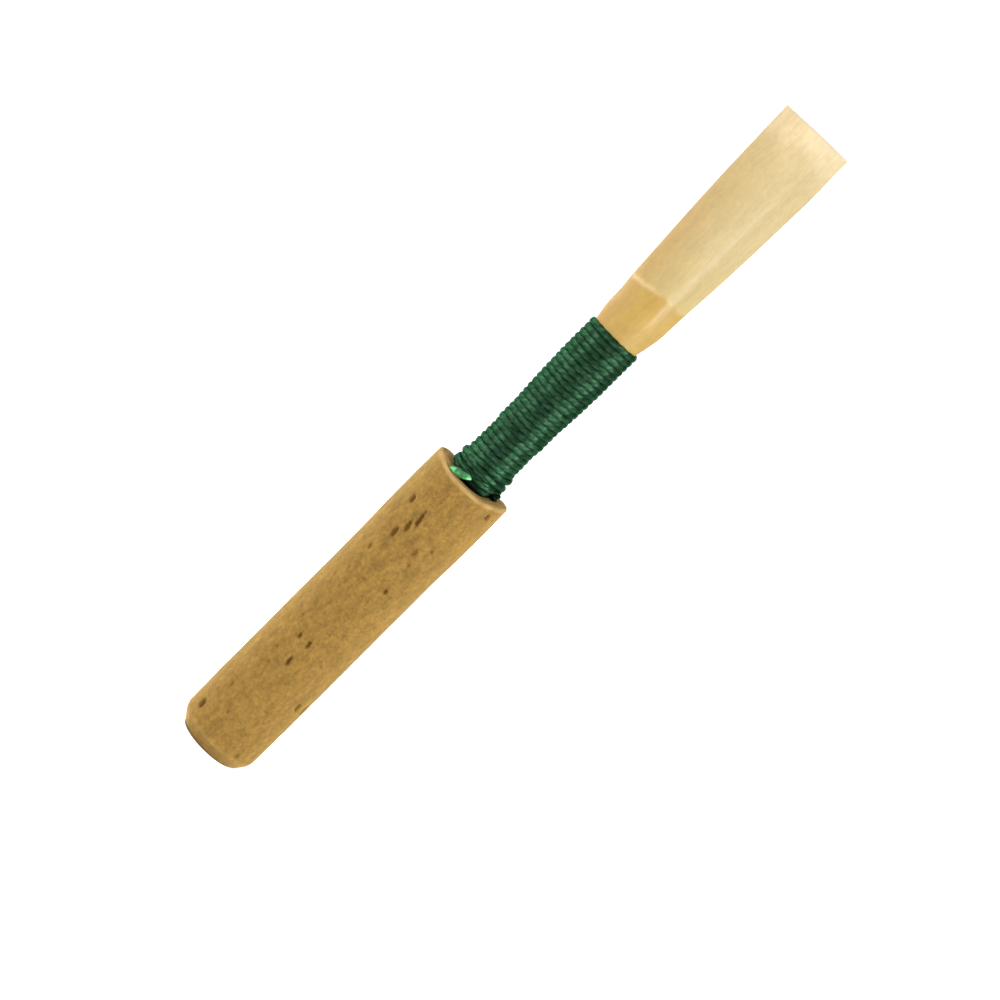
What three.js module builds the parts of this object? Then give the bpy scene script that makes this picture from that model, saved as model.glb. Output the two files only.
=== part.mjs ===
// An oboe reed: two blades of cane bound with thread to a tapered metal tube, the staple,
// whose lower part wears a sleeve of cork that pushes into the top of the oboe.
// Millimetres. +Z runs up the bore, from the staple's lower end at the origin to the blades' tip.
// The blades face -Y (front) and +Y (back), and their side edges meet in the XZ plane.
import * as THREE from "three";

// Lengths that add up along the reed
const STAPLE_BARE_END = 0.3; // the staple shows by this much below the cork
const CORK_LENGTH = 30.9;
const BOUND_LENGTH = 15.8; // from the cork to the staple's head, all of it under thread
const BLADE_FREE_LENGTH = 22.5; // from the staple's head to the tip
const FIT_GAP = 0.05; // room left between pieces that touch
const ROUND_STEPS = 32; // sides of every turned piece

const CORK_TOP = STAPLE_BARE_END + CORK_LENGTH;
const STAPLE_LENGTH = CORK_TOP + BOUND_LENGTH;
const REED_LENGTH = STAPLE_LENGTH + BLADE_FREE_LENGTH;

// Staple: a cone of thin brass, round below and squeezed to an oval at its head
const STAPLE_FOOT_RADIUS = 2.8;
const STAPLE_HEAD_RADIUS = 1.52; // as it would be before it is squeezed
const STAPLE_WALL = 0.35;
const STAPLE_OVAL_LENGTH = 10.0; // the squeezed stretch below its head
const STAPLE_HEAD_WIDE = 1.8; // half the oval's width
const STAPLE_HEAD_DEEP = 1.2; // half its depth
const STAPLE_OVAL_STEPS = 5;

// Cork sleeve: glued round the staple, with a bevel below to ease it into the oboe
const CORK_TOP_WALL = 1.75;
const CORK_FOOT_WALL = 0.8;
const CORK_BEVEL_HEIGHT = 1.1;
const CORK_BEVEL_LIP = 0.12; // cork left round the staple at the bevel's lower edge
const CORK_TOP_EDGE = 0.25; // the worn upper edge

// Cane blades: gouged hollow, bark left near the thread, scraped thin from there to the tip
const BLADE_BOUND_LENGTH = 10.8; // how far the cane reaches down the staple
const BLADE_BUTT_TAPER = 7.0; // the stretch over which its lower end thins out
const BLADE_BUTT_THICKNESS = 0.1;
const BLADE_SEALED_LENGTH = 3.0; // the edges meet down to here, and stand apart below
const BLADE_BUTT_DRAW = 0.5; // radians that each edge has drawn back at the butt
const GOUGE_THICKNESS = 0.58;
const BLADE_EDGE = 0.3; // width of the flat edge on which one blade meets the other
const BARK_LENGTH = 4.6; // bare bark between the thread and the scrape
const SCRAPE_STEP = 0.3;
const SCRAPE_THICKNESS = 0.5; // just past the step
const TIP_THICKNESS = 0.1;
const BLADE_WIDE = 3.22; // half the blade's greatest width
const TIP_OPENING = 1.0; // between the two blades at the tip
const BLADE_STEPS = 16; // facets across a blade
const BOUND_STEPS = 6; // and along its bound, bark and scraped stretches
const BARK_STEPS = 3;
const LAY_STEPS = 12;

// From the thread to the tip: how far the blade has come from its bound to its greatest width,
// how far its hollow has closed from the staple's depth to the tip's, and how far its section has
// turned from an oval to a lens.
const WIDTH_SHARES = [[0, 0], [0.05, 0.19], [0.1, 0.36], [0.24, 0.49], [0.41, 0.69], [0.6, 0.86],
  [0.8, 0.98], [0.88, 1], [1, 0.92]];
const CLOSING_SHARES = [[0, 0], [0.12, -0.03], [0.3, 0.1], [0.6, 0.47], [0.85, 0.83], [1, 1]];
const LENS_SHARES = [[0, 0], [0.15, 0.2], [0.4, 0.75], [0.65, 1], [1, 1]];
// From the scrape to the tip: how much of the scraped thickness is left over the tip's.
const SCRAPE_SHARES = [[0, 1], [0.35, 0.62], [0.7, 0.4], [0.88, 0.3], [0.95, 0.12], [1, 0]];

// Thread: one strand of nylon, wound down from the staple's head and hitched off at the cork
const STRAND_THICKNESS = 0.26;
const STRAND_OVERRUN = 0.2; // the top turn stands this far above the staple's head
const WINDING_PITCH = 0.683;
const WINDING_START = Math.PI / 2; // at the back
const HITCH_THICKNESS = 0.4; // the strand is doubled where it is hitched
const HITCH_PITCH = 0.85;
const HITCH_TURNS = 2.2;
const TAIL_THICKNESS = 0.4;
const TAIL_LENGTH = 1.7;
const TAIL_RISE = 0.28; // its upper end over its cut end, which lies on the cork
const TAIL_SPREAD = 0.45; // how far the cut end has sprung out from the staple
const TAIL_STEPS = 8;
const LOOP_STEPS = 24;
const STRAND_SIDES = 6;

const material = (color, roughness, metalness) =>
  new THREE.MeshStandardMaterial({ color, roughness, metalness });
const brass = material(0xb89a4e, 0.35, 1.0);
const cork = material(0xb28c4a, 0.95, 0.0);
const cane = material(0xdcc088, 0.6, 0.0);
const nylon = material(0x1f5a3a, 0.45, 0.0);
const cutNylon = material(0x4fa368, 0.35, 0.0);

const reed = new THREE.Group();

function add(name, geometry, finish) {
  const mesh = new THREE.Mesh(geometry, finish);
  mesh.name = name;
  reed.add(mesh);
}

const mix = THREE.MathUtils.lerp;

// The share of the way from a to b that v has come, held between 0 and 1.
const progress = (v, a, b) => THREE.MathUtils.clamp((v - a) / (b - a), 0, 1);

// Places from a to b in equal steps, without b.
const stepsBetween = (a, b, count) => Array.from({ length: count }, (_, i) => mix(a, b, i / count));

// A smooth curve through pairs of shares, read at any place.
function curveThrough(shares) {
  const knots = shares.map(([place, value]) => new THREE.Vector3(place, value, 0));
  const samplesPerKnot = 24;
  const samples = new THREE.CatmullRomCurve3(knots, false, "centripetal")
    .getPoints(shares.length * samplesPerKnot);
  return (place) => {
    const after = samples.findIndex((p) => p.x >= place);
    if (after < 0) return samples.at(-1).y;
    if (after === 0) return samples[0].y;
    const [a, b] = [samples[after - 1], samples[after]];
    return mix(a.y, b.y, progress(place, a.x, b.x));
  };
}

// A closed body from a stack of rings. Each ring runs anticlockwise as seen from the stack's far
// end, and its first half faces its second half, so strips between the halves close both ends.
function bodyFromRings(rings) {
  const count = rings[0].length;
  const faces = [];
  const quad = (a, b, c, d) => faces.push(a, b, c, a, c, d);
  for (let ring = 0; ring + 1 < rings.length; ring++) {
    const here = ring * count;
    const above = here + count;
    for (let i = 0; i < count; i++) {
      const next = (i + 1) % count;
      quad(here + i, here + next, above + next, above + i);
    }
  }
  const last = (rings.length - 1) * count;
  for (let i = 0; i + 1 < count / 2; i++) {
    const [a, b, c, d] = [i, i + 1, count - 2 - i, count - 1 - i];
    quad(a, d, c, b);
    quad(last + a, last + b, last + c, last + d);
  }
  return indexedBody(rings.flat(), faces);
}

function indexedBody(points, faces) {
  const body = new THREE.BufferGeometry();
  const positions = points.flatMap((p) => [p.x, p.y, p.z]);
  body.setAttribute("position", new THREE.Float32BufferAttribute(positions, 3));
  body.setIndex(faces);
  return body;
}

// A hollow round or oval body. Its wall's outline is a closed list of [half width, half depth,
// height], up the outside and down the inside.
function turnedBody(outline) {
  const points = [];
  const faces = [];
  outline.forEach(([wide, deep, z], row) => {
    const here = row * ROUND_STEPS;
    const above = ((row + 1) % outline.length) * ROUND_STEPS;
    for (let i = 0; i < ROUND_STEPS; i++) {
      const angle = (2 * Math.PI * i) / ROUND_STEPS;
      points.push(new THREE.Vector3(wide * Math.cos(angle), deep * Math.sin(angle), z));
      const next = (i + 1) % ROUND_STEPS;
      faces.push(here + i, here + next, above + next, here + i, above + next, above + i);
    }
  });
  return indexedBody(points, faces);
}

// Staple

const OVAL_START = STAPLE_LENGTH - STAPLE_OVAL_LENGTH;

// The staple's outside at a height, as half its width along X and half its depth along Y.
function stapleOutside(z) {
  const cone = mix(STAPLE_FOOT_RADIUS, STAPLE_HEAD_RADIUS, Math.min(z, OVAL_START) / STAPLE_LENGTH);
  const squeeze = progress(z, OVAL_START, STAPLE_LENGTH);
  return { wide: mix(cone, STAPLE_HEAD_WIDE, squeeze), deep: mix(cone, STAPLE_HEAD_DEEP, squeeze) };
}

// The same, grown by a clearance or a covering at the sides and at the front and back.
function aroundStaple(z, sideCover, faceCover = sideCover) {
  const { wide, deep } = stapleOutside(z);
  return { wide: wide + sideCover, deep: deep + faceCover };
}

const stapleHeights = [0, ...stepsBetween(OVAL_START, STAPLE_LENGTH, STAPLE_OVAL_STEPS), STAPLE_LENGTH];
const stapleWall = (heights, cover) => heights.map((z) => {
  const { wide, deep } = aroundStaple(z, cover);
  return [wide, deep, z];
});
add("staple", turnedBody([
  ...stapleWall(stapleHeights, 0),
  ...stapleWall(stapleHeights.toReversed(), -STAPLE_WALL),
]), brass);

// Cork sleeve

function corkOutline() {
  const boreAt = (z) => stapleOutside(z).wide + FIT_GAP;
  const footOutside = boreAt(STAPLE_BARE_END) + CORK_FOOT_WALL;
  const topOutside = boreAt(CORK_TOP) + CORK_TOP_WALL;
  const outsideAt = (z) => mix(footOutside, topOutside, progress(z, STAPLE_BARE_END, CORK_TOP));
  const bevelTop = STAPLE_BARE_END + CORK_BEVEL_HEIGHT;
  const edgeFoot = CORK_TOP - CORK_TOP_EDGE;
  return [
    [boreAt(STAPLE_BARE_END) + CORK_BEVEL_LIP, STAPLE_BARE_END],
    [outsideAt(bevelTop), bevelTop],
    [outsideAt(edgeFoot), edgeFoot],
    [topOutside - CORK_TOP_EDGE, CORK_TOP],
    [boreAt(CORK_TOP), CORK_TOP],
    [boreAt(STAPLE_BARE_END), STAPLE_BARE_END],
  ];
}
add("cork_sleeve", turnedBody(corkOutline().map(([radius, z]) => [radius, radius, z])), cork);

// Cane blades

const BUTT = STAPLE_LENGTH - BLADE_BOUND_LENGTH;
const SEAL_FOOT = STAPLE_LENGTH - BLADE_SEALED_LENGTH;
const SCRAPE_START = STAPLE_LENGTH + BARK_LENGTH;
const SCRAPE_TOP = SCRAPE_START + SCRAPE_STEP;
const widening = curveThrough(WIDTH_SHARES);
const closing = curveThrough(CLOSING_SHARES);
const lensing = curveThrough(LENS_SHARES);
const scraping = curveThrough(SCRAPE_SHARES);

// The cane's thickness along the middle of a blade.
function caneThickness(z) {
  if (z <= SCRAPE_START) {
    return mix(BLADE_BUTT_THICKNESS, GOUGE_THICKNESS, progress(z, BUTT, BUTT + BLADE_BUTT_TAPER));
  }
  const step = mix(GOUGE_THICKNESS, SCRAPE_THICKNESS, progress(z, SCRAPE_START, SCRAPE_TOP));
  const left = scraping(progress(z, SCRAPE_TOP, REED_LENGTH));
  return Math.min(step, mix(TIP_THICKNESS, SCRAPE_THICKNESS, left));
}

// The width of a blade's side edge.
const caneEdge = (z) =>
  mix(BLADE_BUTT_THICKNESS, BLADE_EDGE, progress(z, BUTT, BUTT + BLADE_BUTT_TAPER));

// The hollow of the two blades together: an oval on the staple, then a lens that nearly closes.
function hollow(z) {
  const bound = aroundStaple(Math.min(z, STAPLE_LENGTH), FIT_GAP);
  const place = progress(z, STAPLE_LENGTH, REED_LENGTH);
  return {
    wide: mix(bound.wide, BLADE_WIDE - BLADE_EDGE, widening(place)),
    deep: mix(bound.deep, TIP_OPENING / 2, closing(place)),
    lens: 1 + lensing(place),
    reach: Math.PI / 2 - BLADE_BUTT_DRAW * progress(z, SEAL_FOOT, BUTT),
  };
}

function bladeRing(z, side) {
  const { wide, deep, lens, reach } = hollow(z);
  const arc = (cover, faceCover) =>
    Array.from({ length: BLADE_STEPS + 1 }, (_, i) => {
      const angle = mix(-reach, reach, i / BLADE_STEPS);
      const depth = (deep + faceCover) * Math.cos(angle) ** lens;
      return new THREE.Vector3((wide + cover) * Math.sin(angle), side * (FIT_GAP / 2 + depth), z);
    });
  const ring = [...arc(0, 0), ...arc(caneEdge(z), caneThickness(z)).reverse()];
  return side > 0 ? ring : ring.reverse();
}

const bladeHeights = [
  ...stepsBetween(BUTT, SEAL_FOOT, BOUND_STEPS),
  SEAL_FOOT,
  ...stepsBetween(STAPLE_LENGTH, SCRAPE_START, BARK_STEPS),
  SCRAPE_START,
  ...stepsBetween(SCRAPE_TOP, REED_LENGTH, LAY_STEPS),
  REED_LENGTH,
];
add("front_blade", bodyFromRings(bladeHeights.map((z) => bladeRing(z, -1))), cane);
add("back_blade", bodyFromRings(bladeHeights.map((z) => bladeRing(z, 1))), cane);

// Thread

// What the strand lies on at a height: the staple, then the cane, whose butt it climbs within a turn.
function boundOutside(z) {
  const climb = progress(z, BUTT - WINDING_PITCH, BUTT - STRAND_THICKNESS);
  const { wide, deep } = hollow(z);
  const bare = 1 - climb;
  return {
    wide: wide + climb * caneEdge(z) - bare * FIT_GAP,
    deep: deep + climb * (FIT_GAP / 2 + caneThickness(z)) - bare * FIT_GAP,
  };
}

// The centre of a strand of some thickness at an angle and height, laid on what it binds.
function strandPoint(angle, z, thickness, spread = 0) {
  const { wide, deep } = boundOutside(z);
  const out = FIT_GAP + thickness / 2 + spread;
  return new THREE.Vector3((wide + out) * Math.cos(angle), (deep + out) * Math.sin(angle), z);
}

// A tube round a list of centres, with both ends carried on straight for one thickness.
function strandTube(centres, thickness) {
  const path = [...centres];
  const run = (from, to) => to.clone().sub(from).setLength(thickness).add(to);
  path.unshift(run(centres[1], centres[0]));
  path.push(run(centres.at(-2), centres.at(-1)));
  const rings = path.map((centre, i) => {
    const before = path[Math.max(i - 1, 0)];
    const after = path[Math.min(i + 1, path.length - 1)];
    const along = after.clone().sub(before).normalize();
    const out = new THREE.Vector3(centre.x, centre.y, 0);
    out.addScaledVector(along, -out.dot(along)).normalize();
    const across = along.clone().cross(out);
    return Array.from({ length: STRAND_SIDES }, (_, k) => {
      const turn = (2 * Math.PI * (k + 1 / 2)) / STRAND_SIDES;
      return centre.clone()
        .addScaledVector(out, (thickness / 2) * Math.cos(turn))
        .addScaledVector(across, (thickness / 2) * Math.sin(turn));
    });
  });
  return bodyFromRings(rings);
}

// The least gap between a strand's own turns, measured between its centres over half a turn apart.
function leastGap(centres, thickness) {
  let least = Infinity;
  centres.forEach((a, i) => {
    for (let j = i + LOOP_STEPS / 2; j < centres.length; j++) {
      least = Math.min(least, a.distanceTo(centres[j]) - thickness);
    }
  });
  return least;
}

// The hitches fill the stretch above the cork, and the winding all that is left up to the head.
const HITCH_FOOT = CORK_TOP + FIT_GAP + HITCH_THICKNESS / 2;
const HITCH_TOP = HITCH_FOOT + HITCH_TURNS * HITCH_PITCH;
const WINDING_TOP = STAPLE_LENGTH + STRAND_OVERRUN - STRAND_THICKNESS / 2;
const WINDING_LOOPS = Math.floor((WINDING_TOP - HITCH_TOP - HITCH_THICKNESS) / WINDING_PITCH);
const WINDING_FOOT = WINDING_TOP - WINDING_LOOPS * WINDING_PITCH;

// Centres down a helix. The strand goes down clockwise as seen from the tip.
function helix(startAngle, turns, top, foot, thickness) {
  const steps = Math.round(turns * LOOP_STEPS);
  return Array.from({ length: steps + 1 }, (_, i) => {
    const angle = startAngle - (2 * Math.PI * turns * i) / steps;
    return strandPoint(angle, mix(top, foot, i / steps), thickness);
  });
}

// The angle at which the next tube starts, when both straight ends and a gap lie between them.
function nextStart(angle, z, thickness, nextThickness) {
  const reach = stapleOutside(z).wide + nextThickness / 2;
  return angle - (thickness + FIT_GAP + nextThickness) / reach;
}

const winding = helix(WINDING_START, WINDING_LOOPS, WINDING_TOP, WINDING_FOOT, STRAND_THICKNESS);
add("thread_winding", strandTube(winding, STRAND_THICKNESS), nylon);

const hitchStart = nextStart(WINDING_START, HITCH_TOP, STRAND_THICKNESS, HITCH_THICKNESS);
const hitches = helix(hitchStart, HITCH_TURNS, HITCH_TOP, HITCH_FOOT, HITCH_THICKNESS);
add("thread_hitches", strandTube(hitches, HITCH_THICKNESS), nylon);

const tailFoot = CORK_TOP + FIT_GAP + TAIL_THICKNESS / 2;
const tailStart = nextStart(hitchStart - 2 * Math.PI * HITCH_TURNS, HITCH_FOOT, HITCH_THICKNESS,
  TAIL_THICKNESS);
const tailTurn = TAIL_LENGTH / (stapleOutside(tailFoot).wide + TAIL_SPREAD);
const tail = Array.from({ length: TAIL_STEPS + 1 }, (_, i) => {
  const share = i / TAIL_STEPS;
  const height = tailFoot + TAIL_RISE * (1 - share);
  return strandPoint(tailStart - tailTurn * share, height, TAIL_THICKNESS, TAIL_SPREAD * share);
});
add("thread_tail", strandTube(tail, TAIL_THICKNESS), cutNylon);

console.log(`thread_winding: ${WINDING_LOOPS} loops, least gap to itself`,
  leastGap(winding, STRAND_THICKNESS).toFixed(3), "mm");
console.log("thread_hitches: least gap to itself", leastGap(hitches, HITCH_THICKNESS).toFixed(3), "mm");

export default reed;
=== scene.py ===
import math
import random

import bmesh
import bpy
import numpy as np
from mathutils import Matrix, Vector, noise


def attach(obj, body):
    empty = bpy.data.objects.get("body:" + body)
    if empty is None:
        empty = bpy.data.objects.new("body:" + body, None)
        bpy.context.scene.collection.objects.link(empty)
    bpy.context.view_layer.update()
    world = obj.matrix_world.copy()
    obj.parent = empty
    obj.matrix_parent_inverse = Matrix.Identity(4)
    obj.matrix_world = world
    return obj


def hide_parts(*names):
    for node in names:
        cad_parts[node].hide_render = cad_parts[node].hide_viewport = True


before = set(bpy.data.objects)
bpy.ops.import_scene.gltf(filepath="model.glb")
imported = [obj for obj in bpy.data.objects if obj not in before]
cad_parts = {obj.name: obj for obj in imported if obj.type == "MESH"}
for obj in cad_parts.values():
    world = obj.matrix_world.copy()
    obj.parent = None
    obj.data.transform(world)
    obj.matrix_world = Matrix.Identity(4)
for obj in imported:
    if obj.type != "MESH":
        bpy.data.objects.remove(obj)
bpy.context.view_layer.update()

# Sizes are in millimetres, and MM turns them into the scene's metres.
MM = 0.001

# The camera
# It looks at the front blade from a little above, and is turned an eighth of a turn, so that the
# standing reed lies from the picture's lower left to its upper right.

picture_width = 1000  # pixels
focal_pixels = 3506
camera_distance = 280 * MM
camera_elevation = math.radians(10.3)
camera_roll = math.radians(45.1)
camera_aim = Vector((2.67, 0, 31.2)) * MM

looking = Vector((0, math.cos(camera_elevation), -math.sin(camera_elevation)))
reed_up = Vector((0, math.sin(camera_elevation), math.cos(camera_elevation)))
reed_right = Vector((1, 0, 0))
camera_right = math.cos(camera_roll) * reed_right + math.sin(camera_roll) * reed_up
camera_up = math.cos(camera_roll) * reed_up - math.sin(camera_roll) * reed_right
camera_axes = Matrix((camera_right, camera_up, -looking))

bpy.ops.object.camera_add(location=camera_aim - looking * camera_distance)
camera = bpy.context.object
camera.rotation_mode = "QUATERNION"
camera.rotation_quaternion = camera_axes.transposed().to_quaternion()
camera.data.sensor_width = 36
camera.data.lens = camera.data.sensor_width * focal_pixels / picture_width
camera.data.clip_start = 0.01
bpy.context.scene.camera = camera

# The studio
# A white tent: a pale floor that is clear from below, a white surround that only the camera and
# mirrors see, and four soft lamps, of which the narrow right one draws the bark's streak.

SURROUND_SEEN = 1.05  # the surround's strength to the camera, and as it lights the reed
SURROUND_LIGHT = 0.3
FLOOR_GLOW = 0.88
FLOOR_WIDTH = 3  # metres
LAMP_DISTANCE = 0.55  # metres
LAMP_AIM = Vector((0, 0, 35)) * MM

scene = bpy.context.scene
scene.view_settings.view_transform = "Standard"


def new_finish(name):
    """A material whose nodes are its shader and its output."""
    finish = bpy.data.materials.new(name)
    finish.use_nodes = True
    return finish


def add_node(tree, kind, inputs=(), **settings):
    """A shader node. inputs pairs its sockets with values, or with another node's output."""
    made = tree.nodes.new("ShaderNode" + kind)
    for name, value in settings.items():
        setattr(made, name, value)
    for socket, value in dict(inputs).items():
        if isinstance(value, bpy.types.NodeSocket):
            tree.links.new(value, made.inputs[socket])
        else:
            made.inputs[socket].default_value = value
    return made


def reckon(tree, operation, first, second):
    """What a sum, a product or the like makes of two values."""
    return add_node(tree, "Math", {0: first, 1: second}, operation=operation).outputs[0]


def seen_directly(tree):
    """1 for what the camera, a mirror or glass sees, and 0 for what lights the reed."""
    path = add_node(tree, "LightPath").outputs
    mirrored = reckon(tree, "MAXIMUM", path["Is Glossy Ray"], path["Is Transmission Ray"])
    return reckon(tree, "MAXIMUM", path["Is Camera Ray"], mirrored)


tent = bpy.data.worlds.new("tent")
scene.world = tent
tent.use_nodes = True
tree = tent.node_tree
tree.nodes.clear()
white = add_node(tree, "Background", {"Color": (1, 1, 1, 1), "Strength": SURROUND_SEEN})
fill = add_node(tree, "Background", {"Color": (0.98, 0.99, 1, 1), "Strength": SURROUND_LIGHT})
either = add_node(tree, "MixShader", {0: seen_directly(tree), 1: fill.outputs[0], 2: white.outputs[0]})
add_node(tree, "OutputWorld", {"Surface": either.outputs[0]})

bpy.ops.object.select_all(action="DESELECT")
bpy.ops.mesh.primitive_plane_add(size=FLOOR_WIDTH, location=(0, 0, 0))
floor = bpy.context.object
floor.name = "floor"
floor_finish = new_finish("floor")
tree = floor_finish.node_tree
tree.nodes.clear()
paper = add_node(tree, "BsdfDiffuse", {"Color": (0.85, 0.85, 0.85, 1)})
glow = add_node(tree, "Emission", {"Color": (1, 1, 1, 1), "Strength": FLOOR_GLOW})
glowing = add_node(tree, "AddShader", {0: paper.outputs[0], 1: glow.outputs[0]})
either = add_node(tree, "MixShader", {0: seen_directly(tree), 1: paper.outputs[0], 2: glowing.outputs[0]})
from_below = add_node(tree, "NewGeometry").outputs["Backfacing"]
clear = add_node(tree, "BsdfTransparent")
one_sided = add_node(tree, "MixShader", {0: from_below, 1: either.outputs[0], 2: clear.outputs[0]})
add_node(tree, "OutputMaterial", {"Surface": one_sided.outputs[0]})
floor.data.materials.append(floor_finish)

lamps = (
    # name, azimuth and elevation in degrees, width and height in metres, watts
    ("right_lamp", 44, 19, 0.12, 0.5, 0.95),
    ("left_lamp", -56, 20, 0.3, 0.5, 1.55),
    ("right_edge_lamp", 68, 16, 0.24, 0.5, 2.35),
    ("left_edge_lamp", -112, 16, 0.5, 0.5, 2.5),
)
for name, azimuth, elevation, width, height, watts in lamps:
    a, e = math.radians(azimuth), math.radians(elevation)
    away = Vector((math.sin(a) * math.cos(e), -math.cos(a) * math.cos(e), math.sin(e)))
    bpy.ops.object.light_add(type="AREA", location=LAMP_AIM + away * LAMP_DISTANCE)
    lamp = bpy.context.object
    lamp.name = name
    lamp.rotation_mode = "QUATERNION"
    lamp.rotation_quaternion = away.to_track_quat("Z", "Y")
    lamp.data.shape = "RECTANGLE"
    lamp.data.size = width
    lamp.data.size_y = height
    lamp.data.energy = watts
    lamp.visible_camera = False

# Staple
# A cone of thin brass tube, drawn and brazed along its seam, round where the cork sits and
# squeezed to an oval at its head, where the cane is bound on.

STAPLE_LENGTH = 47.0
STAPLE_FOOT_RADIUS = 2.8
STAPLE_HEAD_RADIUS = 1.52
STAPLE_WALL = 0.35
STAPLE_HEAD_WIDE = 1.8
STAPLE_HEAD_DEEP = 1.2
OVAL_START = 37.0
STAPLE_SIDES = 128
STAPLE_CUTS = (46,)
STAPLE_ROUNDING = 0.06
FIT_GAP = 0.05


def share(value, low, high):
    """How far value has come from low to high, held between 0 and 1."""
    return min(max((value - low) / (high - low), 0.0), 1.0)


def blend(a, b, amount):
    """What lies between a and b, by an amount from 0 to 1."""
    return a + (b - a) * amount


def smooth(amount):
    """An amount from 0 to 1, made to start and end gently."""
    return amount * amount * (3 - 2 * amount)


def srgb(red, green, blue):
    """A colour as a picture's editor gives it, from 0 to 255, for a shader."""
    def linear(value):
        value /= 255
        return value / 12.92 if value <= 0.04045 else ((value + 0.055) / 1.055) ** 2.4
    return linear(red), linear(green), linear(blue), 1.0


def staple_outside(z):
    """Half the staple's width and half its depth at a height."""
    cone = blend(STAPLE_FOOT_RADIUS, STAPLE_HEAD_RADIUS, min(z, OVAL_START) / STAPLE_LENGTH)
    squeeze = share(z, OVAL_START, STAPLE_LENGTH)
    return blend(cone, STAPLE_HEAD_WIDE, squeeze), blend(cone, STAPLE_HEAD_DEEP, squeeze)


def select(piece, kind, wanted):
    """In edit mode, selects just the verts, edges or faces that wanted says yes to."""
    bpy.context.tool_settings.mesh_select_mode = (kind == "verts", kind == "edges", kind == "faces")
    shape = bmesh.from_edit_mesh(piece.data)
    for parts in (shape.verts, shape.edges, shape.faces):
        for part in parts:
            part.select = False
    for part in getattr(shape, kind):
        if wanted(part):
            part.select_set(True)
    bmesh.update_edit_mesh(piece.data)


def upright_edge(edge):
    """Whether an edge of a standing tube runs up it and not round it."""
    rise = abs(edge.verts[0].co.z - edge.verts[1].co.z)
    return rise > 0.5 * edge.calc_length()


def cut_across(piece, chosen, passes):
    """Cuts the chosen upright edges of a piece, and again the edges that each pass leaves."""
    bpy.context.view_layer.objects.active = piece
    bpy.ops.object.mode_set(mode="EDIT")
    for cuts in passes:
        select(piece, "edges", lambda edge: upright_edge(edge) and chosen(edge))
        bpy.ops.mesh.subdivide(number_cuts=cuts)
    bpy.ops.object.mode_set(mode="OBJECT")


def start_tube(name, sides, radius, foot, head, passes, ends):
    """A standing tube or rod of a radius in millimetres, cut into rings, its mesh in place."""
    bpy.ops.object.select_all(action="DESELECT")
    bpy.ops.mesh.primitive_cylinder_add(
        vertices=sides, radius=radius * MM, depth=(head - foot) * MM, end_fill_type=ends,
        location=(0, 0, (foot + head) / 2 * MM), rotation=(0, 0, math.pi / sides))
    piece = bpy.context.object
    piece.name = name
    bpy.ops.object.transform_apply(location=True, rotation=True, scale=True)
    cut_across(piece, lambda edge: True, passes)
    return piece


def pick(*pieces):
    """Selects pieces and nothing else, the first of them as the active one."""
    bpy.ops.object.select_all(action="DESELECT")
    for piece in pieces:
        piece.select_set(True)
    bpy.context.view_layer.objects.active = pieces[0]


def apply_modifier(piece, kind, **settings):
    """Gives a piece a modifier and makes its shape the piece's own."""
    pick(piece)
    modifier = piece.modifiers.new(kind.lower(), kind)
    for name, value in settings.items():
        setattr(modifier, name, value)
    bpy.ops.object.modifier_apply(modifier=modifier.name)


def shade_smooth(piece, degrees):
    """Smooths a piece's faces, but for the edges sharper than an angle."""
    pick(piece)
    bpy.ops.object.shade_smooth_by_angle(angle=math.radians(degrees))


staple = start_tube("brass_staple", STAPLE_SIDES, 1, 0, STAPLE_LENGTH, STAPLE_CUTS, "NOTHING")
for vertex in staple.data.vertices:
    wide, deep = staple_outside(vertex.co.z / MM)
    vertex.co.x *= wide
    vertex.co.y *= deep
apply_modifier(staple, "SOLIDIFY", thickness=STAPLE_WALL * MM, offset=-1, use_even_offset=True)
apply_modifier(staple, "BEVEL", width=STAPLE_ROUNDING * MM, segments=3, limit_method="ANGLE",
               angle_limit=math.radians(50))
shade_smooth(staple, 40)


def remap(tree, value, low, high, to_low, to_high):
    """Runs from to_low to to_high while a value runs from low to high."""
    return add_node(tree, "MapRange", {0: value, 1: low, 2: high, 3: to_low, 4: to_high}).outputs[0]


def stretched(tree, place, scale, turn=(0, 0, 0)):
    """A place to read a pattern at, so that the pattern is scaled and turned."""
    return add_node(tree, "Mapping", {"Vector": place, "Rotation": turn, "Scale": scale}).outputs[0]


def noise_over(tree, place, scale, detail, roughness=0.5):
    """A soft random pattern from 0 to 1."""
    return add_node(tree, "TexNoise", {"Vector": place, "Scale": scale, "Detail": detail,
                                       "Roughness": roughness}).outputs[0]


def ramp(tree, value, stops):
    """A value's colour. stops pairs values, in rising order, with colours from 0 to 255."""
    made = add_node(tree, "ValToRGB", {0: value})
    elements = made.color_ramp.elements
    elements[0].position = stops[0][0]
    elements[0].color = srgb(*stops[0][1])
    elements[1].position = stops[-1][0]
    elements[1].color = srgb(*stops[-1][1])
    for position, colour in stops[1:-1]:
        elements.new(position).color = srgb(*colour)
    return made.outputs[0]


def add_relief(tree, height, strength, distance):
    """Gives a material a fine relief, its distance in millimetres."""
    relief = add_node(tree, "Bump", {"Height": height, "Strength": strength, "Distance": distance * MM})
    tree.links.new(relief.outputs[0], tree.nodes["Principled BSDF"].inputs["Normal"])


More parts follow.
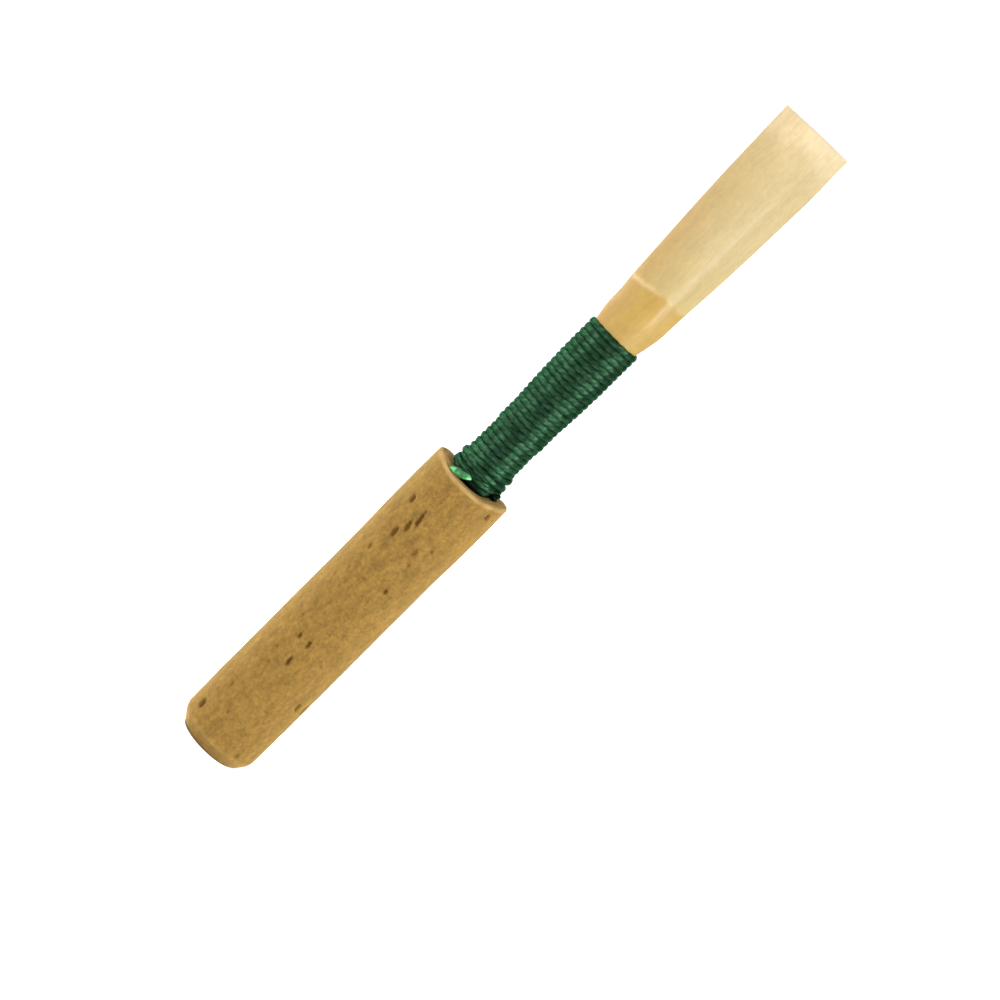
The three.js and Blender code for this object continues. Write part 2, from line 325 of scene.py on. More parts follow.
brass = new_finish("drawn_brass")
tree = brass.node_tree
shader = tree.nodes["Principled BSDF"]
place = add_node(tree, "TexCoord").outputs["Object"]
drawn_lines = noise_over(tree, stretched(tree, place, (9000, 9000, 400)), 1.0, 4.0)
blotch = noise_over(tree, place, 700.0, 5.0)
tarnish = ramp(tree, blotch, ((0, (84, 64, 30)), (1, (132, 102, 52))))
tree.links.new(tarnish, shader.inputs["Base Color"])
shader.inputs["Metallic"].default_value = 1.0
tree.links.new(remap(tree, blotch, 0, 1, 0.28, 0.5), shader.inputs["Roughness"])
add_relief(tree, drawn_lines, 0.15, 0.02)
staple.data.materials.append(brass)
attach(staple, "root")
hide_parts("staple")

# Cork sleeve
# Natural cork, glued round the staple and turned to size: a bevel below, a worn edge above, and
# a skin with dark pits where the bark breathed, which lie along the sleeve.

CORK_FOOT = 0.3
CORK_TOP = 31.2
CORK_FOOT_RADIUS = 3.642
CORK_TOP_RADIUS = 3.75
CORK_BEVEL_TOP = 1.22
CORK_LIP_RADIUS = 2.965
CORK_BEVEL_ROUNDING = 0.34
CORK_TOP_ROUNDING = 0.2
CORK_SIDES = 224
CORK_CUTS = (15, 16)
CORK_FACE_CUTS = 9
CORK_WORN_TOP = 30.98
CORK_SADDLE = 0.5  # how much lower its worn top is at the front and the back
# Pairs of a height and how far the sanded side stands out from a straight one there.
CORK_WEAR = ((1.4, -0.03), (5, 0.0), (13, -0.04), (19, -0.08), (22, -0.09), (25.5, -0.03), (28.2, -0.03),
             (31.2, -0.08))
cork_bore_foot = staple_outside(CORK_FOOT)[0] + FIT_GAP
cork_bore_top = staple_outside(CORK_TOP)[0] + FIT_GAP

cork = start_tube("cork_sleeve_turned", CORK_SIDES, CORK_TOP_RADIUS, CORK_FOOT, CORK_TOP, (), "NGON")
bpy.ops.object.mode_set(mode="EDIT")
select(cork, "faces", lambda face: abs(face.normal.z) > 0.9)
bpy.ops.mesh.inset(thickness=(CORK_TOP_RADIUS - cork_bore_top) * MM, use_individual=True)
bpy.ops.mesh.bridge_edge_loops()


def ring_at(z, outside):
    """Picks the vertices of the cork's outer or inner ring at a height."""
    middle = (CORK_TOP_RADIUS + cork_bore_top) / 2

    def wanted(vertex):
        radius = math.hypot(vertex.co.x, vertex.co.y) / MM
        return abs(vertex.co.z / MM - z) < 0.01 and (radius > middle) == outside
    return wanted


bpy.ops.mesh.select_all(action="SELECT")
bpy.ops.mesh.bisect(plane_co=(0, 0, CORK_BEVEL_TOP * MM), plane_no=(0, 0, 1))
for z, outside, radius in ((CORK_BEVEL_TOP, True, CORK_FOOT_RADIUS), (CORK_FOOT, True, CORK_LIP_RADIUS),
                           (CORK_BEVEL_TOP, False, cork_bore_foot), (CORK_FOOT, False, cork_bore_foot)):
    select(cork, "verts", ring_at(z, outside))
    size = radius / (CORK_TOP_RADIUS if outside else cork_bore_top)
    bpy.ops.transform.resize(value=(size, size, 1), center_override=(0, 0, z * MM))
select(cork, "edges", lambda edge: all(ring_at(CORK_BEVEL_TOP, True)(v) for v in edge.verts))
bpy.ops.mesh.bevel(offset=CORK_BEVEL_ROUNDING * MM, segments=5, affect="EDGES")
select(cork, "edges", lambda edge: all(ring_at(CORK_TOP, True)(v) for v in edge.verts))
bpy.ops.mesh.bevel(offset=CORK_TOP_ROUNDING * MM, segments=5, affect="EDGES")
select(cork, "edges", lambda edge: edge.calc_length() > 0.5 * MM
       and all(abs(v.co.z / MM - CORK_TOP) < 0.01 for v in edge.verts))
bpy.ops.mesh.subdivide(number_cuts=CORK_FACE_CUTS)
bpy.ops.object.mode_set(mode="OBJECT")


def on_long_side(edge):
    """Whether an edge runs up the cork's outside, between its bevel and its top."""
    ends = [(math.hypot(v.co.x, v.co.y) / MM, v.co.z / MM) for v in edge.verts]
    return (min(radius for radius, _ in ends) > CORK_FOOT_RADIUS - 0.1 and edge.calc_length() > 0.5 * MM
            and CORK_BEVEL_TOP - 0.2 < min(z for _, z in ends))


cut_across(cork, on_long_side, CORK_CUTS)

# Each pit is its angle from the front in degrees, its height, half its width and half its length,
# and its depth. The first are the ones that the front shows. They lean a little.
PIT_LEAN = 0.14
PITS_BEHIND = 40
SMALL_PITS = 260
pits = [(-38, 26.75, 0.24, 0.4, 0.2), (-11, 26.2, 0.21, 0.72, 0.24), (-16, 25.1, 0.21, 0.56, 0.2),
        (-24, 24.0, 0.27, 0.5, 0.22), (-34, 21.7, 0.22, 0.26, 0.12), (13, 24.0, 0.2, 0.42, 0.13),
        (29, 24.9, 0.24, 0.2, 0.13), (20, 22.9, 0.2, 0.2, 0.1), (23, 20.0, 0.22, 0.26, 0.22),
        (-15, 12.6, 0.2, 0.26, 0.2), (1, 12.6, 0.18, 0.38, 0.2), (-2, 10.5, 0.19, 0.42, 0.22),
        (-47, 2.6, 0.28, 0.44, 0.24), (-34, 5.7, 0.18, 0.3, 0.1), (57, 7.8, 0.24, 0.4, 0.2),
        (53, 30.1, 0.26, 0.38, 0.24), (40, 1.75, 0.26, 0.24, 0.12),
        (-27, 10.6, 0.16, 0.2, 0.08), (11, 14.3, 0.15, 0.16, 0.08), (-20, 28.6, 0.15, 0.16, 0.08),
        (-8, 19.6, 0.14, 0.16, 0.07), (14, 17.2, 0.14, 0.18, 0.07), (-18, 16.3, 0.13, 0.16, 0.07),
        (33, 11.9, 0.15, 0.2, 0.08), (24, 6.1, 0.15, 0.2, 0.08), (-12, 3.9, 0.14, 0.18, 0.08)]
chance = random.Random(11)
for _ in range(PITS_BEHIND):
    pits.append((chance.uniform(75, 285), chance.uniform(2, 30), chance.uniform(0.16, 0.26),
                 chance.uniform(0.3, 0.7), chance.uniform(0.14, 0.26)))
for _ in range(SMALL_PITS):
    pits.append((chance.uniform(-180, 180), chance.uniform(1.6, 31), chance.uniform(0.07, 0.15),
                 chance.uniform(0.1, 0.28), chance.uniform(0.02, 0.06)))

places = np.array([v.co for v in cork.data.vertices]) / MM
radii = np.hypot(places[:, 0], places[:, 1])
turns = np.degrees(np.arctan2(places[:, 0], -places[:, 1]))
sunk = np.zeros(len(places))
dark = np.zeros(len(places))
for turn, z, half_width, half_length, depth in pits:
    aside = np.radians((turns - turn + 180) % 360 - 180) * CORK_TOP_RADIUS + PIT_LEAN * (places[:, 2] - z)
    near = np.nonzero((abs(aside) < 2 * half_width) & (abs(places[:, 2] - z) < 2 * half_length)
                      & (radii > CORK_LIP_RADIUS))[0]
    for i in near:
        ragged = 0.4 * noise.noise(Vector(places[i]) * 2.5) + 0.15 * noise.noise(Vector(places[i]) * 8)
        reach = math.hypot(aside[i] / half_width, (places[i, 2] - z) / half_length) + ragged
        sunk[i] = max(sunk[i], depth * smooth(share(1.2 - reach, 0, 0.6)))
        dark[i] = max(dark[i], smooth(share(1.25 - reach, 0, 0.6)) * share(depth, 0, 0.2))

# Its edges are worn pale and carry a painted highlight, its upper face has painted shadow and soil
# round the thread, the knot's painted shadow and a dark spot at the left, its side is a little lumpy,
# and it dips at the front and the back of its top.
pale_edge_and_highlight = np.zeros(len(places))
shadow_soil_and_notch = np.zeros(len(places))
for i, vertex in enumerate(cork.data.vertices):
    at = Vector(places[i])
    patchy = 0.75 + 0.6 * noise.noise(at * 1.3)
    # Pale worn edges with a painted highlight, along the top's rim and along the bevel's edge.
    top_edge = math.exp(-((CORK_TOP - at.z + CORK_TOP_RADIUS - radii[i] - 0.16) / 0.14) ** 2)
    bevel_edge = 0.4 * math.exp(-((at.z - CORK_BEVEL_TOP) / 0.13) ** 2) * (radii[i] > CORK_FOOT_RADIUS - 0.4)
    pale_edge_and_highlight[i] = max(top_edge, bevel_edge) * patchy
    if at.z > CORK_TOP - 0.3:
        # Painted shadow and soil round the thread's foot, the knot's painted shadow, and a dark spot at the
        # left.
        thread_shadow_and_soil = smooth(share(3.2 + 0.2 * noise.noise(at * 2) - radii[i], 0, 0.6))
        knot_shadow = math.exp(-((at.x - 2.2) / 0.6) ** 2 - ((at.y + 1.1) / 0.7) ** 2)
        notch = math.exp(-((at.x + 3.35) / 0.3) ** 2 - ((at.y - 0.1) / 0.8) ** 2)
        shadow_soil_and_notch[i] = max(blend(0.7, 1, share(abs(at.x), 1.2, 2)) * thread_shadow_and_soil, knot_shadow, 0.9 * notch)
    if radii[i] > CORK_LIP_RADIUS + 0.05 or at.z > CORK_TOP - 0.01:
        lumps = 0.012 * noise.noise(at * 0.45) + 0.014 * noise.noise(at * 1.7) + 0.012 * noise.noise(at * 5)
        wear = float(np.interp(at.z, *zip(*CORK_WEAR)))
        radius = radii[i] + (lumps + wear - sunk[i]) * share(radii[i], cork_bore_top, CORK_LIP_RADIUS)
        vertex.co.x *= radius / radii[i]
        vertex.co.y *= radius / radii[i]
    dip = CORK_TOP - CORK_WORN_TOP + CORK_SADDLE * smooth((at.y / radii[i]) ** 2) - 0.015 * at.x
    face_lumps = 0.03 * noise.noise(at * 1.8) + 0.02 * noise.noise(at * 5)
    vertex.co.z -= (dip + face_lumps) * smooth(share(at.z, 28.5, CORK_TOP)) * MM
    foot_dip = (0.08 + 0.03 * at.x) * share(radii[i], cork_bore_foot, CORK_LIP_RADIUS)
    vertex.co.z -= foot_dip * smooth(share(2.6 - at.z, 0, 2)) * MM


def keep_marks(piece, marks):
    """Keeps values of a piece's points under their names, for its material to read."""
    for name, values in marks.items():
        kept = piece.data.attributes.new(name, "FLOAT", "POINT")
        kept.data.foreach_set("value", np.array(values, np.float32))


keep_marks(cork, {"pit": dark, "pale_edge_and_highlight": pale_edge_and_highlight, "shadow_soil_and_notch": shadow_soil_and_notch})
shade_smooth(cork, 60)


def mark(tree, name):
    """The value that a piece's points keep under a name."""
    return add_node(tree, "Attribute", attribute_name=name).outputs["Fac"]


def mixed(tree, amount, first, second):
    """A colour between two others."""
    return add_node(tree, "MixRGB", {0: amount, 1: first, 2: second}).outputs[0]


def scaled_by(tree, colour, *factors):
    """A colour made lighter or darker by factors, each an output to multiply it by."""
    for factor in factors:
        scaled = add_node(tree, "VectorMath", {0: colour}, operation="SCALE")
        tree.links.new(factor, scaled.inputs["Scale"])
        colour = scaled.outputs[0]
    return colour


cork_finish = new_finish("sanded_cork")
tree = cork_finish.node_tree
shader = tree.nodes["Principled BSDF"]
place = add_node(tree, "TexCoord").outputs["Object"]
along = stretched(tree, place, (1000, 1000, 500))
even = stretched(tree, place, (1000, 1000, 1000))
leaning = stretched(tree, place, (2600, 1300, 900), turn=(0, 0.65, 0))
ground = ramp(tree, noise_over(tree, along, 0.9, 6.0, 0.65), ((0.3, (155, 118, 53)), (0.7, (169, 131, 61))))
cells = add_node(tree, "TexVoronoi", {"Vector": even, "Scale": 1.7, "Randomness": 1.0}).outputs["Distance"]
cell_shade = remap(tree, cells, 0.1, 0.8, 1.06, 0.9)
wrinkle_shade = remap(tree, noise_over(tree, leaning, 0.9, 2.0), 0.35, 0.65, 0.84, 1.1)
speckle = noise_over(tree, even, 3.3, 4.0, 0.75)
speckle_shade = remap(tree, speckle, 0.36, 0.62, 0.74, 1.13)
axes = add_node(tree, "SeparateXYZ", {0: place}).outputs
# Darker towards the foot.
darker_towards_foot = remap(tree, axes["Z"], 0.3 * MM, 1.2 * MM, 0.66, 1.0)
# Painted shade from the middle towards the right, and painted light again at the right edge.
painted_shade_middle = remap(tree, axes["X"], -1.8 * MM, 0.6 * MM, 1.0, 0.93)
painted_light_right = remap(tree, axes["X"], 2.5 * MM, 3.2 * MM, 1.0, 1.07)
shaded = scaled_by(tree, ground, cell_shade, wrinkle_shade, speckle_shade, darker_towards_foot, painted_shade_middle, painted_light_right)
# Pale worn edges, with a painted highlight along the top's rim and the bevel's edge.
pale_edged_and_highlit = mixed(tree, mark(tree, "pale_edge_and_highlight"), shaded, srgb(194, 160, 100))
pitted = mixed(tree, mark(tree, "pit"), pale_edged_and_highlit, srgb(112, 77, 24))
# Painted shadow of the thread and the knot on the upper face, with soil round the thread and a dark spot at
# the left.
shadowed_and_stained = mixed(tree, mark(tree, "shadow_soil_and_notch"), pitted, srgb(62, 50, 22))
tree.links.new(shadowed_and_stained, shader.inputs["Base Color"])
shader.inputs["Roughness"].default_value = 0.86
shader.inputs["Specular IOR Level"].default_value = 0.25
shader.inputs["Sheen Weight"].default_value = 1.0
shader.inputs["Sheen Roughness"].default_value = 0.5
shader.inputs["Sheen Tint"].default_value = srgb(244, 204, 128)
add_relief(tree, speckle, 0.6, 0.06)
cork.data.materials.append(cork_finish)

# The cut upper face has less of the sanded side's bloom.
face_finish = cork_finish.copy()
face_finish.name = "cut_cork"
face_finish.node_tree.nodes["Principled BSDF"].inputs["Sheen Weight"].default_value = 0.4
cork.data.materials.append(face_finish)
for face in cork.data.polygons:
    if all(places[i][2] > CORK_TOP - 0.01 for i in face.vertices):
        face.material_index = 1
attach(cork, "root")
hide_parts("cork_sleeve")

# Cane blades
# Two strips of one split cane tube, gouged hollow, shaped and bound edge to edge. The bark shows
# above the thread, and from the scrape's uneven edge up the cane is scraped thin to the tip.

REED_LENGTH = 69.5
BLADE_BUTT = 36.2
BUTT_TAPER_TOP = 43.2
SEAL_FOOT = 44.0  # from here up, the blades' edges are all there and meet
SCRAPE_START = 51.98
BUTT_DRAW = 0.5  # how much less than half round each blade goes at its butt, in radians
BUTT_THICKNESS = 0.1
GOUGE_THICKNESS = 0.58
BLADE_EDGE = 0.3
SCRAPE_THICKNESS = 0.51
TIP_THICKNESS = 0.1
TIP_SLANT = 0.03  # the tip is cut a little higher at the right
BLADE_WIDE = 3.22
TIP_OPENING = 1.0
BLADES_APART = 0.002
BLADE_ARC = 56  # points across a blade, outside and inside
BLADE_CUTS = (15, 18)
# Pairs of a share of the way up the free blades and how far their width, their closing and their
# lens shape have come there, and how much of the cane is left. The stray to the right is in mm.
WIDTH_SHARES = ((0, 0), (0.05, 0.205), (0.1, 0.335), (0.14, 0.365), (0.18, 0.42), (0.24, 0.49),
                (0.41, 0.69), (0.6, 0.86), (0.8, 0.98), (0.88, 1), (0.94, 0.995), (1, 0.995))
STRAY_SHARES = ((0, 0), (0.06, 0.03), (0.12, 0.09), (0.2, 0.05), (0.35, 0.05), (0.5, 0.035), (0.65, 0),
                (0.85, -0.02), (0.94, -0.08), (1, -0.09))
CLOSING_SHARES = ((0, 0), (0.12, -0.03), (0.3, 0.1), (0.6, 0.47), (0.85, 0.83), (1, 1))
LENS_SHARES = ((0, 0), (0.15, 0.2), (0.4, 0.75), (0.65, 1), (1, 1))
SCRAPE_SHARES = ((0, 1), (0.35, 0.62), (0.7, 0.4), (0.88, 0.3), (0.95, 0.12), (1, 0))


def curve_through(shares):
    """A smooth curve through pairs of shares."""
    places, values = (np.array(column, float) for column in zip(*shares))
    slopes = np.gradient(values, places)

    def read(place):
        i = int(np.clip(np.searchsorted(places, place) - 1, 0, len(places) - 2))
        span = places[i + 1] - places[i]
        t = (place - places[i]) / span
        return ((2 * t**3 - 3 * t**2 + 1) * values[i] + (t**3 - 2 * t**2 + t) * span * slopes[i]
                + (3 * t**2 - 2 * t**3) * values[i + 1] + (t**3 - t**2) * span * slopes[i + 1])
    return read


widening, closing = curve_through(WIDTH_SHARES), curve_through(CLOSING_SHARES)
lensing, scraping = curve_through(LENS_SHARES), curve_through(SCRAPE_SHARES)
straying = curve_through(STRAY_SHARES)


def scrape_edge(across, side):
    """The height at which the knife began, for a place across the blade from -1 to 1."""
    lower_left = 0.55 * share(-across, -0.15, 0.7)
    lower_right = 0.2 * smooth(share(across, 0.2, 0.6)) * share(1 - across, 0, 0.3)
    return SCRAPE_START - lower_left - lower_right + 0.1 * noise.noise(Vector((across * 4, side * 3, 0)))


def parting(across, z):
    """How far the line where the blades meet strays from the middle, on each side of the reed."""
    return 0.03 * noise.noise(Vector((math.copysign(5, across), z * 0.3, 2))) * share(abs(across), 0.9, 1)


def cane_thickness(z, across, side):
    """The cane's thickness at a height and a place across it, and whether it is scraped there."""
    bark = blend(BUTT_THICKNESS, GOUGE_THICKNESS, share(z, BLADE_BUTT, BUTT_TAPER_TOP))
    edge = scrape_edge(across, side)
    if z <= edge:
        return bark, 0.0
    lay = blend(TIP_THICKNESS, SCRAPE_THICKNESS, scraping(share(z, edge, REED_LENGTH)))
    scraped = smooth(share(z, edge, edge + 0.4))
    return blend(bark, lay, scraped), scraped


def hollow(z):
    """The hollow of the two blades: half its width, half its depth, its section and its reach."""
    wide, deep = staple_outside(min(z, STAPLE_LENGTH))
    up = share(z, STAPLE_LENGTH, REED_LENGTH)
    return (blend(wide + FIT_GAP, BLADE_WIDE - BLADE_EDGE, widening(up)),
            blend(deep + FIT_GAP, TIP_OPENING / 2, closing(up)), 1 + lensing(up),
            math.pi / 2 - BUTT_DRAW * (1 - share(z, BLADE_BUTT, SEAL_FOOT)))


cane_finish = new_finish("scraped_cane")
tree = cane_finish.node_tree
shader = tree.nodes["Principled BSDF"]
place = add_node(tree, "TexCoord").outputs["Object"]
aside = add_node(tree, "SeparateXYZ", {0: place}).outputs["X"]
along = stretched(tree, place, (1000, 500, 55))
mottled = stretched(tree, place, (1000, 1000, 600))
fibres = noise_over(tree, along, 7.0, 3.0, 0.6)
clouds = noise_over(tree, place, 420.0, 5.0, 0.6)
up_lay = mark(tree, "up_lay")
scraped = mark(tree, "scraped")

lay = ramp(tree, reckon(tree, "ADD", up_lay, remap(tree, clouds, 0.3, 0.7, -0.05, 0.05)),
           ((0, (203, 178, 114)), (0.35, (209, 186, 131)), (0.75, (212, 189, 134)),
            (0.86, (218, 194, 142)), (0.95, (238, 215, 168)), (1, (240, 218, 173))))
# Browner towards the left, less so up the lay: partly the cane's own tone, partly painted shade.
left_tone_and_shade = remap(tree, aside, 0.2 * MM, -2.2 * MM, 0.0, 0.9)
left_tone_fade_up = remap(tree, up_lay, 0.1, 0.85, 1.0, 0.3)
left_toned_and_shaded = mixed(tree, reckon(tree, "MULTIPLY", left_tone_and_shade, left_tone_fade_up), lay, srgb(180, 143, 70))
# Painted shade: the lay darkens towards its right.
shaded_lay = scaled_by(tree, left_toned_and_shaded, remap(tree, aside, -1.5 * MM, 1.8 * MM, 1.0, 0.84))

bark = ramp(tree, clouds, ((0.3, (179, 142, 54)), (0.7, (193, 157, 66))))
# The bark too is browner towards the left: partly its own tone, partly painted shade.
bark_left_tone_and_shade = remap(tree, aside, -0.6 * MM, -2.0 * MM, 0.0, 0.7)
bark_left_toned_and_shaded = mixed(tree, bark_left_tone_and_shade, bark, srgb(174, 128, 20))
# Painted shade: the bark darkens at its right side.
shaded_bark = scaled_by(tree, bark_left_toned_and_shaded, remap(tree, aside, 1.3 * MM, 1.75 * MM, 1.0, 0.9))

bark_or_lay = mixed(tree, scraped, shaded_bark, shaded_lay)
edged = mixed(tree, mark(tree, "cut_edge"), bark_or_lay, srgb(222, 191, 132))
fibre_shade = remap(tree, fibres, 0.3, 0.7, 0.94, 1.05)
band_shade = remap(tree, noise_over(tree, along, 0.9, 2.0), 0.35, 0.65, 0.98, 1.02)
blotch_shade = remap(tree, noise_over(tree, mottled, 0.9, 3.0), 0.3, 0.7, 0.955, 1.045)
fleck_shade = remap(tree, noise_over(tree, mottled, 3.2, 3.0, 0.6), 0.32, 0.68, 0.945, 1.05)
toned = scaled_by(tree, edged, fibre_shade, band_shade, blotch_shade, fleck_shade)
tree.links.new(toned, shader.inputs["Base Color"])

gloss = remap(tree, scraped, 0, 1, 0.22, 0.42)
dull_left = remap(tree, aside, 0.2 * MM, -1.2 * MM, 0.0, 0.25)
dull_right = remap(tree, aside, 1.3 * MM, 1.65 * MM, 0.0, 0.35)
roughness = reckon(tree, "ADD", gloss, reckon(tree, "ADD", dull_left, dull_right))
tree.links.new(roughness, shader.inputs["Roughness"])
shader.inputs["Specular IOR Level"].default_value = 0.75
add_relief(tree, fibres, 0.3, 0.015)

for name, side, node in (("cane_blade_front", -1, "front_blade"), ("cane_blade_back", 1, "back_blade")):
    blade = start_tube(name, 2 * BLADE_ARC, 1, BLADE_BUTT, REED_LENGTH, BLADE_CUTS, "NGON")
    marks = {"scraped": [], "up_lay": [], "cut_edge": []}
    for vertex in blade.data.vertices:
        z = vertex.co.z / MM
        angle = math.atan2(vertex.co.y, vertex.co.x)
        outside = (angle < 0) == (side < 0)
        arc_share = (abs(angle) / math.pi * BLADE_ARC - 0.5) / (BLADE_ARC - 1)
        across = 1 - 2 * arc_share
        wide, deep, lens, reach = hollow(z)
        thickness, scraped_here = cane_thickness(z, across, side)
        edge = blend(BUTT_THICKNESS, BLADE_EDGE, share(z, BLADE_BUTT, BUTT_TAPER_TOP))
        if outside:
            strokes = 0.014 * noise.noise(Vector((across * 6, side * 9, z * 0.35))) * scraped_here
            wide, deep = wide + edge, deep + thickness + strokes
        turn = across * reach
        slant = TIP_SLANT * wide * math.sin(turn) * share(z, 60, REED_LENGTH)
        stray = straying(share(z, STAPLE_LENGTH, REED_LENGTH))
        vertex.co = Vector((wide * math.sin(turn) + stray,
                            side * (BLADES_APART / 2 + deep * max(math.cos(turn), 0) ** lens)
                            + parting(across, z), z + slant)) * MM
        from_edge = z - scrape_edge(across, side)
        sway = 0.5 * abs(across) + 0.2 * noise.noise(Vector((across * 2, side, 7)))
        marks["scraped"].append(scraped_here if outside else 1.0)
        marks["up_lay"].append(share(z + sway * share(z, 60, 67), 51.5, 69.6))
        fading = 0.05 + 0.6 * share(-across, -0.3, 0.1) * share(across, -1, -0.75)
        marks["cut_edge"].append(fading * math.exp(-((from_edge - 0.14) / 0.2) ** 2) if outside else 0.0)
    keep_marks(blade, marks)
    shade_smooth(blade, 50)
    blade.data.materials.append(cane_finish)
    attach(blade, "root")
    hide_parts(node)

# Thread winding
# One strand of green nylon, twisted of three plies, wound tight and turn against turn from the
# staple's head down over the cane to the bare staple.

STRAND_THICK = 0.31
STRAND_WIDE = 0.63
STRAND_CROWN = 0.74  # how much of its thickness lies outside of its path
STRAND_SIDES = 16
WINDING_TOP = 47.2
WINDING_FOOT = 33.9
WINDING_TURNS = 24
WINDING_LEAN = 0.55  # how much of the descent is made at the back, where it doesn't show
PLIES = 3
PLY_LAY = 2.6  # the strand's length in which a ply goes once round
PLY_DEPTH = 0.06  # how far the plies swell the strand, as a share
TUCKED_TURNS = 0.14  # how many turns of its first end are tucked under
WAIST_HEIGHT = 38  # the winding is pulled a little tighter round the staple here
WAIST_DEPTH = 0.06
WAIST_REACH = 1.5


def bound_outside(z):
    """What the thread lies on at a height: half its width and half its depth."""
    on_cane = smooth(share(z, BLADE_BUTT - 0.7, BLADE_BUTT + 0.2))
    wide, deep, _, _ = hollow(z)
    edge = blend(BUTT_THICKNESS, BLADE_EDGE, share(z, BLADE_BUTT, BUTT_TAPER_TOP))
    thickness = blend(BUTT_THICKNESS, GOUGE_THICKNESS, share(z, BLADE_BUTT, BUTT_TAPER_TOP))
    return wide - FIT_GAP + on_cane * (FIT_GAP + edge), deep - FIT_GAP + on_cane * (FIT_GAP + thickness)


def on_bound(angle, z, lift):
    """A place off the bound reed, round from its right towards its back, and at a height."""
    wide, deep = bound_outside(z)
    return ((wide + lift) * math.cos(angle), (deep + lift) * math.sin(angle), z)


def lay_strand(name, passes, centre_at, thick_at, wide_at, outward=None, crown_share=0.5):
    """A straight strand is modelled, then laid along its path, its flat side on what it binds.
    crown_share is how much of its thickness lies outside of its path."""
    strand = start_tube(name, STRAND_SIDES, 1, 0, 1, passes, "NGON")
    rings = math.prod(cuts + 1 for cuts in passes)
    ways = np.arange(rings + 1) / rings
    centres = np.array([centre_at(way) for way in ways])
    tangents = np.gradient(centres, axis=0)
    tangents /= np.linalg.norm(tangents, axis=1)[:, None]
    outs = np.array([outward(way) for way in ways]) if outward else centres * (1, 1, 0)
    outs = outs - tangents * (outs * tangents).sum(axis=1)[:, None]
    outs /= np.linalg.norm(outs, axis=1)[:, None]
    acrosses = np.cross(outs, tangents)
    runs = np.concatenate(([0], np.cumsum(np.linalg.norm(np.diff(centres, axis=0), axis=1))))
    thicks, wides = (np.array([size(way) for way in ways]) for size in (thick_at, wide_at))
    straight = np.array([v.co for v in strand.data.vertices]) / MM
    ring = np.rint(straight[:, 2] * rings).astype(int)
    angle = np.arctan2(straight[:, 1], straight[:, 0])
    ply = 1 + PLY_DEPTH * np.cos(PLIES * (angle - 2 * math.pi * runs[ring] / PLY_LAY))
    keep_marks(strand, {"crown": np.cos(angle), "ply": (ply - 1) / PLY_DEPTH})
    rise = thicks[ring] * ply * np.cos(angle) * np.where(np.cos(angle) > 0, crown_share, 1 - crown_share)
    laid = (centres[ring] + outs[ring] * rise[:, None]
            + acrosses[ring] * (wides[ring] / 2 * ply * np.sin(angle))[:, None]) * MM
    strand.data.vertices.foreach_set("co", laid.astype(np.float32).ravel())
    strand.data.update()
    for corner in strand.data.uv_layers.active.data:
        corner.uv.y = (corner.uv.y - 0.5) * 2 * runs[-1]
    shade_smooth(strand, 60)
    return strand


def nylon(name, dark, light, fade):
    """Twisted nylon, its filaments running round with the plies. The map holds round and length.
    fade is the axis and the two places between which the colour changes, and its factor at each."""
    finish = new_finish(name)
    tree = finish.node_tree
    shader = tree.nodes["Principled BSDF"]
    mapped = add_node(tree, "TexCoord").outputs["UV"]
    place = add_node(tree, "TexCoord").outputs["Object"]
    axes = add_node(tree, "SeparateXYZ", {0: place}).outputs
    length = add_node(tree, "SeparateXYZ", {0: mapped}).outputs["Y"]
    round_ply = add_node(tree, "VectorMath", {0: mapped, 1: (1, -1 / PLY_LAY, 0)}, operation="DOT_PRODUCT")
    spread = reckon(tree, "MULTIPLY", round_ply.outputs["Value"], 30.0)
    filament_place = add_node(tree, "CombineXYZ", {"X": spread, "Y": length}).outputs[0]
    filaments = noise_over(tree, filament_place, 1.2, 2.0)
    filament_shade = remap(tree, filaments, 0.3, 0.7, 0.8, 1.18)
    green = ramp(tree, noise_over(tree, place, 1500.0, 3.0), ((0.32, dark), (0.7, light)))
    # Random lighter and darker dashes along the strand: partly its own tone, partly painted glints.
    dashes = noise_over(tree, stretched(tree, mapped, (3.0, 1.7, 1)), 1.6, 2.0)
    dash_shade = remap(tree, dashes, 0.33, 0.68, 0.68, 1.3)
    # Painted shade in the valleys between the plies.
    painted_ply_shade = remap(tree, mark(tree, "ply"), -1, 0.2, 0.75, 1.0)
    # Painted shade in the grooves between the turns, darker towards each strand's sides.
    painted_groove_shade = remap(tree, mark(tree, "crown"), 0.3, 0.9, 0.7, 1.0)
    by_turn = noise_over(tree, stretched(tree, place, (250, 250, 1500)), 1.0, 1.0)
    turn_shade = remap(tree, by_turn, 0.32, 0.68, 0.84, 1.16)
    axis, low, high, low_shade, high_shade = fade
    # Painted along the fade's axis: shade where its factor is below 1, light where it is above.
    painted_fade = remap(tree, axes[axis], low * MM, high * MM, low_shade, high_shade)
    # Painted shade towards the thread's right edge.
    painted_right_shade = remap(tree, axes["X"], 1.85 * MM, 2.25 * MM, 1.0, 0.7)
    shaded = scaled_by(tree, green, dash_shade, filament_shade, painted_ply_shade, painted_groove_shade, turn_shade,
                       painted_fade, painted_right_shade)
    tree.links.new(shaded, shader.inputs["Base Color"])
    shader.inputs["Roughness"].default_value = 0.38
    shader.inputs["Metallic"].default_value = 0.88
    shader.inputs["Specular IOR Level"].default_value = 0.3
    shader.inputs["Specular Tint"].default_value = srgb(165, 195, 176)
    shader.inputs["Anisotropic"].default_value = 0.94
    round_strand = add_node(tree, "Tangent", direction_type="UV_MAP", uv_map="UVMap")
    tree.links.new(round_strand.outputs[0], shader.inputs["Tangent"])
    add_relief(tree, filaments, 0.3, 0.02)
    return finish


